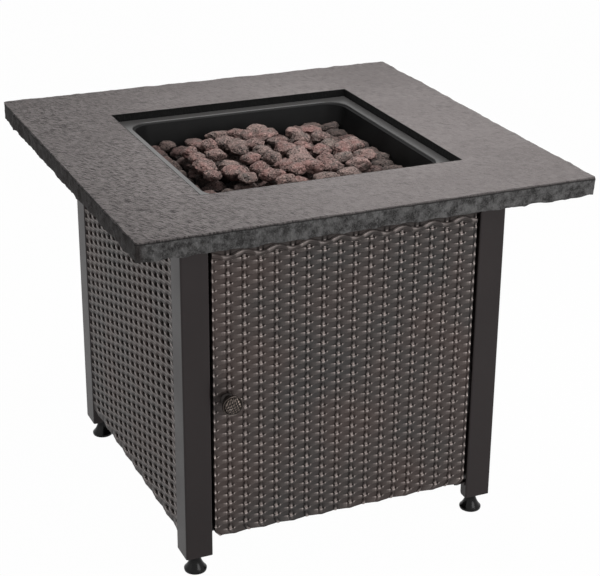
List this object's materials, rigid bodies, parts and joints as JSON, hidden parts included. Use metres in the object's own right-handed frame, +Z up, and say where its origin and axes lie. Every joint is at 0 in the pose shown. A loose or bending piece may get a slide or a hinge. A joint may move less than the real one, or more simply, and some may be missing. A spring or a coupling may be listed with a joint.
{
  "type": "propane fire pit table",
  "caption": "Square gas fire pit table: slate-look mantel with a sunk bowl of lava rock over a burner, on a woven-look steel base whose hinged door hides the gas cylinder and controls.",
  "frame": {"origin": "on the floor, under the middle of the mantel", "axes": "+Z up; the door is in the front, which looks towards -Y; +X is to the right, seen from the front"},
  "size_m": [0.762, 0.762, 0.645],
  "materials": {
    "slate": "moulded slate-look resin, matte",
    "enamel": "black enamel, satin",
    "lava": "porous red-brown lava rock",
    "bronze_frame": "dark bronze powder coat, satin",
    "woven_sheet": "dark bronze powder coat with rubbed copper highlights",
    "foot_plastic": "black moulded plastic",
    "knob_bronze": "antique bronze",
    "stainless": "stainless sheet",
    "zinc_steel": "zinc plate",
    "brass_fitting": "machined brass",
    "electrode_ceramic": "unglazed white ceramic",
    "control_plastic": "black moulded plastic"
  },
  "bodies": {
    "root": {"base_plate": "bronze_frame", "base_rail_front": "bronze_frame", "base_rail_left": "bronze_frame", "base_rail_rear": "bronze_frame", "base_rail_right": "bronze_frame", "burner": "stainless", "burner_spacers": "stainless", "control_panel": "bronze_frame", "electrode_bracket": "stainless", "fire_bowl": "enamel", "heat_shield": "stainless", "hinge_brackets": "bronze_frame", "hinge_pins": "zinc_steel", "igniter_housing": "control_plastic", "igniter_nut": "zinc_steel", "ignition_electrode": "electrode_ceramic", "inlet_fitting": "brass_fitting", "lava_rocks": "lava", "leg_front_left": "bronze_frame", "leg_front_right": "bronze_frame", "leg_plug_front_left": "foot_plastic", "leg_plug_front_right": "foot_plastic", "leg_plug_rear_left": "foot_plastic", "leg_plug_rear_right": "foot_plastic", "leg_rear_left": "bronze_frame", "leg_rear_right": "bronze_frame", "magnet_catch": "control_plastic", "mantel": "slate", "mantel_screws": "zinc_steel", "mixer_tube": "stainless", "orifice_jet": "brass_fitting", "panel_screws": "zinc_steel", "rear_panel": "woven_sheet", "side_panel_left": "woven_sheet", "side_panel_right": "woven_sheet", "tank_bolt_lug": "bronze_frame", "thermocouple": "stainless", "top_rail_front": "bronze_frame", "top_rail_left": "bronze_frame", "top_rail_rear": "bronze_frame", "top_rail_right": "bronze_frame", "valve_body": "brass_fitting"},
    "door": {"door_panel": "woven_sheet", "hinge_bushes": "control_plastic", "door_knob": "knob_bronze", "knob_screw": "zinc_steel", "door_strike": "zinc_steel"},
    "valve_rotor": {"valve_rotor": "brass_fitting"},
    "control_knob": {"valve_stem": "zinc_steel", "control_knob": "control_plastic"},
    "igniter_button": {"igniter_button": "control_plastic"},
    "air_shutter": {"air_shutter": "stainless"},
    "tank_bolt": {"tank_bolt": "zinc_steel"},
    "foot_front_left": {"foot_front_left": "foot_plastic"},
    "foot_front_right": {"foot_front_right": "foot_plastic"},
    "foot_rear_left": {"foot_rear_left": "foot_plastic"},
    "foot_rear_right": {"foot_rear_right": "foot_plastic"}
  },
  "joints": [
    {"name": "door_hinge", "type": "hinge", "parent": "root", "child": "door", "pos_m": [0.22225, -0.27245, 0.3175], "axis": [0, 0, 1], "range_deg": [0, 105]},
    {"name": "knob_turn", "type": "hinge", "parent": "root", "child": "valve_rotor", "pos_m": [0, -0.24575, 0.561], "axis": [0, -1, 0], "range_deg": [0, 180]},
    {"name": "knob_push", "type": "slide", "parent": "valve_rotor", "child": "control_knob", "axis": [0, 1, 0], "range_m": [0, 0.004], "stiffness_N_per_m": 600},
    {"name": "igniter_push", "type": "slide", "parent": "root", "child": "igniter_button", "axis": [0, 1, 0], "range_m": [0, 0.004], "stiffness_N_per_m": 500},
    {"name": "air_shutter_turn", "type": "hinge", "parent": "root", "child": "air_shutter", "pos_m": [0, -0.2, 0.561], "axis": [0, 1, 0], "range_deg": [0, 60]},
    {"name": "tank_bolt_run", "type": "slide", "parent": "root", "child": "tank_bolt", "axis": [-1, 0, 0], "range_m": [0, 0.018]},
    {"name": "foot_front_left_level", "type": "slide", "parent": "root", "child": "foot_front_left", "axis": [0, 0, -1], "range_m": [0, 0.012]},
    {"name": "foot_front_right_level", "type": "slide", "parent": "root", "child": "foot_front_right", "axis": [0, 0, -1], "range_m": [0, 0.012]},
    {"name": "foot_rear_left_level", "type": "slide", "parent": "root", "child": "foot_rear_left", "axis": [0, 0, -1], "range_m": [0, 0.012]},
    {"name": "foot_rear_right_level", "type": "slide", "parent": "root", "child": "foot_rear_right", "axis": [0, 0, -1], "range_m": [0, 0.012]}
  ]
}
